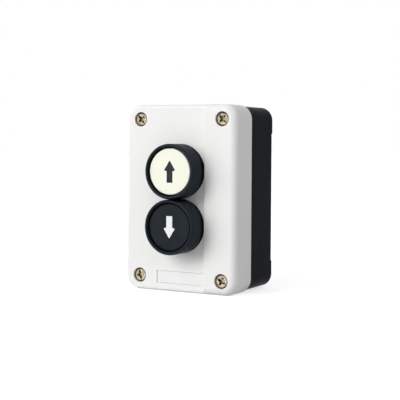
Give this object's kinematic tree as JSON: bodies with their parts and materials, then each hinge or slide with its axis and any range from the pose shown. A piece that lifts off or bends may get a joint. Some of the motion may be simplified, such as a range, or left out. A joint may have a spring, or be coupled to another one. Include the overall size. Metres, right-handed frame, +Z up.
{
  "type": "pushbutton station",
  "caption": "Wall-mounted pushbutton station: rounded two-part box, raised strip along the right edge, up and down arrow buttons in dished bezels, blank label recess, lid screws.",
  "frame": {"origin": "centre of the wall plane that the corner feet rest on, at mid width and mid height", "axes": "+X to the right seen from the front, +Y from the front into the wall, +Z up the wall; the buttons face -Y"},
  "size_m": [0.071, 0.058, 0.104],
  "materials": {
    "base_plastic": "satin, finely grained",
    "lid_plastic": "satin",
    "black_gloss": "semi-gloss",
    "nut_plastic": "matte",
    "white_cap": "semi-gloss",
    "black_cap": "semi-gloss",
    "dark_arrow": "semi-gloss",
    "white_arrow": "semi-gloss",
    "pusher_plastic": "matte",
    "gasket_rubber": "matte",
    "label_white": "matte",
    "zinc_screw": "yellow zinc plating",
    "steel_screw": "bright zinc plating",
    "brass": "turned",
    "spring_steel": "bright drawn wire",
    "block_plastic": "matte",
    "cover_plastic": "matte",
    "plunger_plastic": "matte",
    "bridge_copper": "rolled copper alloy"
  },
  "bodies": {
    "station": {"base": "base_plastic", "post_inserts": "brass", "lid": "lid_plastic", "lid_gasket": "gasket_rubber", "lid_screws": "zinc_screw", "legend_label": "label_white", "up_bezel": "black_gloss", "up_panel_seal": "gasket_rubber", "up_ring_nut": "nut_plastic", "up_return_spring": "spring_steel", "up_block_housing": "block_plastic", "up_block_cover": "cover_plastic", "up_plunger_spring": "spring_steel", "up_fixed_contacts": "brass", "up_terminal_screws": "steel_screw", "up_block_screws": "steel_screw", "down_bezel": "black_gloss", "down_panel_seal": "gasket_rubber", "down_ring_nut": "nut_plastic", "down_return_spring": "spring_steel", "down_block_housing": "block_plastic", "down_block_cover": "cover_plastic", "down_plunger_spring": "spring_steel", "down_fixed_contacts": "brass", "down_terminal_screws": "steel_screw", "down_block_screws": "steel_screw"},
    "up_button": {"up_cap": "white_cap", "up_arrow": "dark_arrow", "up_pusher": "pusher_plastic"},
    "up_plunger": {"up_contact_plunger": "plunger_plastic", "up_contact_spring": "spring_steel"},
    "up_bridge": {"up_bridge_contact": "bridge_copper"},
    "down_button": {"down_cap": "black_cap", "down_arrow": "white_arrow", "down_pusher": "pusher_plastic"},
    "down_plunger": {"down_contact_plunger": "plunger_plastic", "down_contact_spring": "spring_steel"},
    "down_bridge": {"down_bridge_contact": "bridge_copper"}
  },
  "joints": [
    {"name": "up_press", "type": "slide", "parent": "station", "child": "up_button", "axis": [0, 1, 0], "range_m": [0, 0.004], "stiffness_N_per_m": 350, "springref_m": -0.006, "deforming": ["up_return_spring", "up_contact_spring"]},
    {"name": "up_plunge", "type": "slide", "parent": "station", "child": "up_plunger", "axis": [0, 1, 0], "range_m": [0, 0.00372], "deforming": ["up_plunger_spring"]},
    {"name": "up_make", "type": "slide", "parent": "station", "child": "up_bridge", "axis": [0, 1, 0], "range_m": [0, 0.0024]},
    {"name": "down_press", "type": "slide", "parent": "station", "child": "down_button", "axis": [0, 1, 0], "range_m": [0, 0.004], "stiffness_N_per_m": 350, "springref_m": -0.006, "deforming": ["down_return_spring", "down_contact_spring"]},
    {"name": "down_plunge", "type": "slide", "parent": "station", "child": "down_plunger", "axis": [0, 1, 0], "range_m": [0, 0.00372], "deforming": ["down_plunger_spring"]},
    {"name": "down_make", "type": "slide", "parent": "station", "child": "down_bridge", "axis": [0, 1, 0], "range_m": [0, 0.0024]}
  ],
  "couplings": [
    {"joint": "up_plunge", "follows": "up_press", "ratio": 0.93},
    {"joint": "up_make", "follows": "up_press", "ratio": 0.6},
    {"joint": "down_plunge", "follows": "down_press", "ratio": 0.93},
    {"joint": "down_make", "follows": "down_press", "ratio": 0.6}
  ]
}
